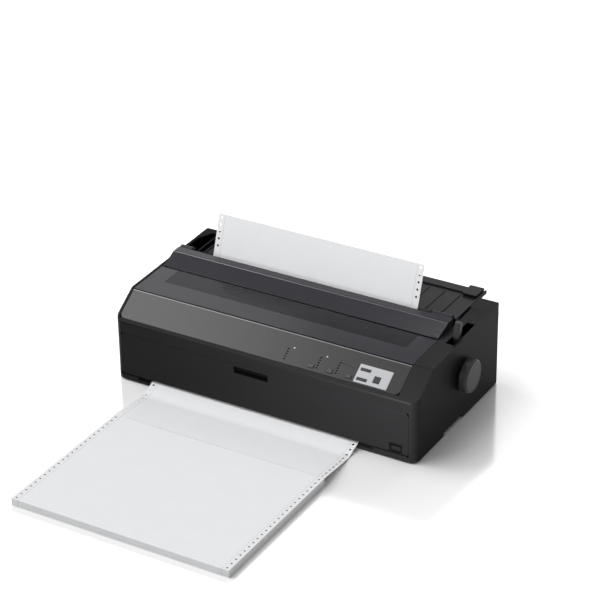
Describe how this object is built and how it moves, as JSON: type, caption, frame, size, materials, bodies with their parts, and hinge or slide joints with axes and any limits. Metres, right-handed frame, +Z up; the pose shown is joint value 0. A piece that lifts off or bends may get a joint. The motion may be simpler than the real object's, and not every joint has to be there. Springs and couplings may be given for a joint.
{
  "type": "dot matrix printer",
  "caption": "Wide-carriage impact printer with hinged covers, tractors, platen and head carriage, loaded with continuous paper from a fanfold stack.",
  "frame": {"origin": "on the surface that it stands on, at the middle of the rectangle that the printer and its paper cover", "axes": "+X to the right seen from the front, where the knob is; +Y to the rear, away from the paper stack; +Z up"},
  "size_m": [0.6046, 0.7492, 0.235],
  "materials": {
    "case_black": "fine-grained moulded plastic",
    "guide_black": "satin moulded plastic",
    "panel_grey": "fine-grained moulded plastic",
    "smoked_cover": "glossy smoked plastic",
    "button_grey": "satin",
    "button_dark": "satin",
    "label_silver": "printed film",
    "light_lens": "clear lens",
    "knob_grey": "satin moulded plastic",
    "foot_rubber": "matte",
    "platen_rubber": "ground rubber",
    "sheet_steel": "zinc-plated sheet",
    "bright_steel": "ground bar",
    "motor_steel": "satin can",
    "gear_white": "acetal",
    "pinion_brass": "turned",
    "mechanism_black": "glass-filled plastic",
    "head_aluminium": "black-anodised fins",
    "lever_blue": "satin",
    "belt_rubber": "toothed",
    "ribbon_fabric": "inked nylon",
    "cable_film": "flexible flat cable",
    "board_green": "solder mask",
    "board_tan": "phenolic board",
    "port_metal": "nickel shells",
    "paper_white": "uncoated"
  },
  "bodies": {
    "root": {"lower_case": "case_black", "upper_case": "case_black", "control_panel": "panel_grey", "label_plate": "label_silver", "status_lights": "light_lens", "rubber_feet": "foot_rubber", "case_screws": "bright_steel", "switch_housing": "guide_black", "side_frame_left": "sheet_steel", "side_frame_right": "sheet_steel", "rear_beam": "sheet_steel", "front_rail": "sheet_steel", "guide_shaft": "bright_steel", "platen_bushings": "gear_white", "feed_motor": "motor_steel", "tractor_rod": "bright_steel", "carriage_motor": "motor_steel", "idler_bracket": "sheet_steel", "timing_belt": "belt_rubber", "ribbon_cartridge": "mechanism_black", "ribbon": "ribbon_fabric", "head_cable": "cable_film", "main_board": "board_green", "power_board": "board_tan", "ac_inlet": "mechanism_black", "interface_ports": "port_metal", "paper_web": "paper_white", "fanfold_stack": "paper_white"},
    "front_cover": {"front_cover": "case_black"},
    "printer_cover": {"printer_cover": "smoked_cover"},
    "paper_guide": {"paper_guide": "case_black"},
    "edge_guide_left": {"edge_guide_left": "guide_black"},
    "edge_guide_right": {"edge_guide_right": "guide_black"},
    "power_switch": {"power_switch": "button_dark"},
    "paper_release_lever": {"paper_release_lever": "button_grey"},
    "thickness_lever": {"thickness_lever": "lever_blue"},
    "platen": {"platen_roller": "platen_rubber", "platen_shaft": "bright_steel", "platen_gear": "gear_white", "knob": "knob_grey"},
    "reduction_gear": {"reduction_gear": "gear_white"},
    "transfer_gear": {"transfer_gear": "gear_white"},
    "tractor_drive": {"tractor_shaft": "bright_steel", "tractor_gear": "gear_white"},
    "motor_pinion": {"motor_pinion": "pinion_brass"},
    "tractor_left": {"tractor_left": "mechanism_black"},
    "tractor_right": {"tractor_right": "mechanism_black"},
    "tractor_cover_left": {"tractor_cover_left": "mechanism_black"},
    "tractor_cover_right": {"tractor_cover_right": "mechanism_black"},
    "carriage": {"carriage": "mechanism_black", "print_head": "head_aluminium"},
    "motor_pulley": {"motor_pulley": "pinion_brass"},
    "idler_pulley": {"idler_pulley": "gear_white"},
    "ribbon_knob": {"ribbon_knob": "mechanism_black"},
    "button_menu": {"button_menu": "button_grey"},
    "button_font": {"button_font": "button_grey"},
    "button_tear_off": {"button_tear_off": "button_grey"},
    "button_load": {"button_load": "button_dark"},
    "button_feed": {"button_feed": "button_dark"},
    "button_pause": {"button_pause": "button_dark"}
  },
  "joints": [
    {"name": "printer_cover_hinge", "type": "hinge", "parent": "root", "child": "printer_cover", "pos_m": [-0.0093, 0.24555, 0.1655], "axis": [-1, 0, 0], "range_deg": [0, 100]},
    {"name": "front_cover_hinge", "type": "hinge", "parent": "root", "child": "front_cover", "pos_m": [-0.0093, 0.04305, 0.016], "axis": [1, 0, 0], "range_deg": [0, 75]},
    {"name": "paper_guide_hinge", "type": "hinge", "parent": "root", "child": "paper_guide", "pos_m": [-0.0093, 0.26055, 0.1525], "axis": [1, 0, 0], "range_deg": [0, 45]},
    {"name": "edge_guide_left_slide", "type": "slide", "parent": "paper_guide", "child": "edge_guide_left", "axis": [1, 0, 0], "range_m": [0, 0.2]},
    {"name": "edge_guide_right_slide", "type": "slide", "parent": "paper_guide", "child": "edge_guide_right", "axis": [-1, 0, 0], "range_m": [0, 0.2]},
    {"name": "paper_release_hinge", "type": "hinge", "parent": "root", "child": "paper_release_lever", "pos_m": [0.2702, 0.21755, 0.118], "axis": [1, 0, 0], "range_deg": [-20, 25]},
    {"name": "thickness_hinge", "type": "hinge", "parent": "root", "child": "thickness_lever", "pos_m": [0.2287, 0.18155, 0.124], "axis": [1, 0, 0], "range_deg": [0, 30]},
    {"name": "power_switch_rocker", "type": "hinge", "parent": "root", "child": "power_switch", "pos_m": [0.24595, 0.04855, 0.0221], "axis": [1, 0, 0], "range_deg": [0, 10]},
    {"name": "platen_turn", "type": "hinge", "parent": "root", "child": "platen", "pos_m": [0.2837, 0.21255, 0.085], "axis": [1, 0, 0], "continuous": true},
    {"name": "reduction_gear_turn", "type": "hinge", "parent": "root", "child": "reduction_gear", "pos_m": [0.2357, 0.16547, 0.0697], "axis": [1, 0, 0], "continuous": true},
    {"name": "transfer_gear_turn", "type": "hinge", "parent": "root", "child": "transfer_gear", "pos_m": [0.2357, 0.11628, 0.05626], "axis": [1, 0, 0], "continuous": true},
    {"name": "tractor_drive_turn", "type": "hinge", "parent": "root", "child": "tractor_drive", "pos_m": [0.2307, 0.09633, 0.02275], "axis": [1, 0, 0], "continuous": true},
    {"name": "motor_pinion_turn", "type": "hinge", "parent": "root", "child": "motor_pinion", "pos_m": [0.2357, 0.1896, 0.04946], "axis": [1, 0, 0], "continuous": true},
    {"name": "tractor_left_slide", "type": "slide", "parent": "root", "child": "tractor_left", "axis": [-1, 0, 0], "range_m": [0, 0.025]},
    {"name": "tractor_right_slide", "type": "slide", "parent": "root", "child": "tractor_right", "axis": [1, 0, 0], "range_m": [0, 0.025]},
    {"name": "tractor_cover_left_hinge", "type": "hinge", "parent": "tractor_left", "child": "tractor_cover_left", "pos_m": [-0.23445, 0.10064, 0.03883], "axis": [0, -0.9525, -0.3044], "range_deg": [0, 95]},
    {"name": "tractor_cover_right_hinge", "type": "hinge", "parent": "tractor_right", "child": "tractor_cover_right", "pos_m": [0.17845, 0.10064, 0.03883], "axis": [0, 0.9525, 0.3044], "range_deg": [0, 95]},
    {"name": "carriage_slide", "type": "slide", "parent": "root", "child": "carriage", "axis": [1, 0, 0], "range_m": [0, 0.364], "deforming": ["head_cable"]},
    {"name": "motor_pulley_turn", "type": "hinge", "parent": "root", "child": "motor_pulley", "pos_m": [-0.2473, 0.14755, 0.0505], "axis": [0, 0, 1], "continuous": true},
    {"name": "idler_pulley_turn", "type": "hinge", "parent": "root", "child": "idler_pulley", "pos_m": [0.2127, 0.14755, 0.0505], "axis": [0, 0, 1], "continuous": true},
    {"name": "ribbon_knob_turn", "type": "hinge", "parent": "root", "child": "ribbon_knob", "pos_m": [-0.1593, 0.11555, 0.12], "axis": [0, 0, 1], "continuous": true},
    {"name": "button_menu_press", "type": "slide", "parent": "root", "child": "button_menu", "axis": [0, 0.5524, -0.8336], "range_m": [0, 0.0012], "stiffness_N_per_m": 400},
    {"name": "button_font_press", "type": "slide", "parent": "root", "child": "button_font", "axis": [0, 0.5524, -0.8336], "range_m": [0, 0.0012], "stiffness_N_per_m": 400},
    {"name": "button_tear_off_press", "type": "slide", "parent": "root", "child": "button_tear_off", "axis": [0, 0.5524, -0.8336], "range_m": [0, 0.0012], "stiffness_N_per_m": 400},
    {"name": "button_load_press", "type": "slide", "parent": "root", "child": "button_load", "axis": [0, 0.5524, -0.8336], "range_m": [0, 0.0012], "stiffness_N_per_m": 400},
    {"name": "button_feed_press", "type": "slide", "parent": "root", "child": "button_feed", "axis": [0, 0.5524, -0.8336], "range_m": [0, 0.0012], "stiffness_N_per_m": 400},
    {"name": "button_pause_press", "type": "slide", "parent": "root", "child": "button_pause", "axis": [0, 0.5524, -0.8336], "range_m": [0, 0.0012], "stiffness_N_per_m": 400}
  ],
  "couplings": [
    {"joint": "reduction_gear_turn", "follows": "platen_turn", "ratio": -1.0625},
    {"joint": "transfer_gear_turn", "follows": "platen_turn", "ratio": 0.94444},
    {"joint": "tractor_drive_turn", "follows": "platen_turn", "ratio": -2.125},
    {"joint": "motor_pinion_turn", "follows": "platen_turn", "ratio": 3.4},
    {"joint": "motor_pulley_turn", "follows": "carriage_slide", "rad_per_m": 151.52},
    {"joint": "idler_pulley_turn", "follows": "carriage_slide", "rad_per_m": 151.52}
  ]
}
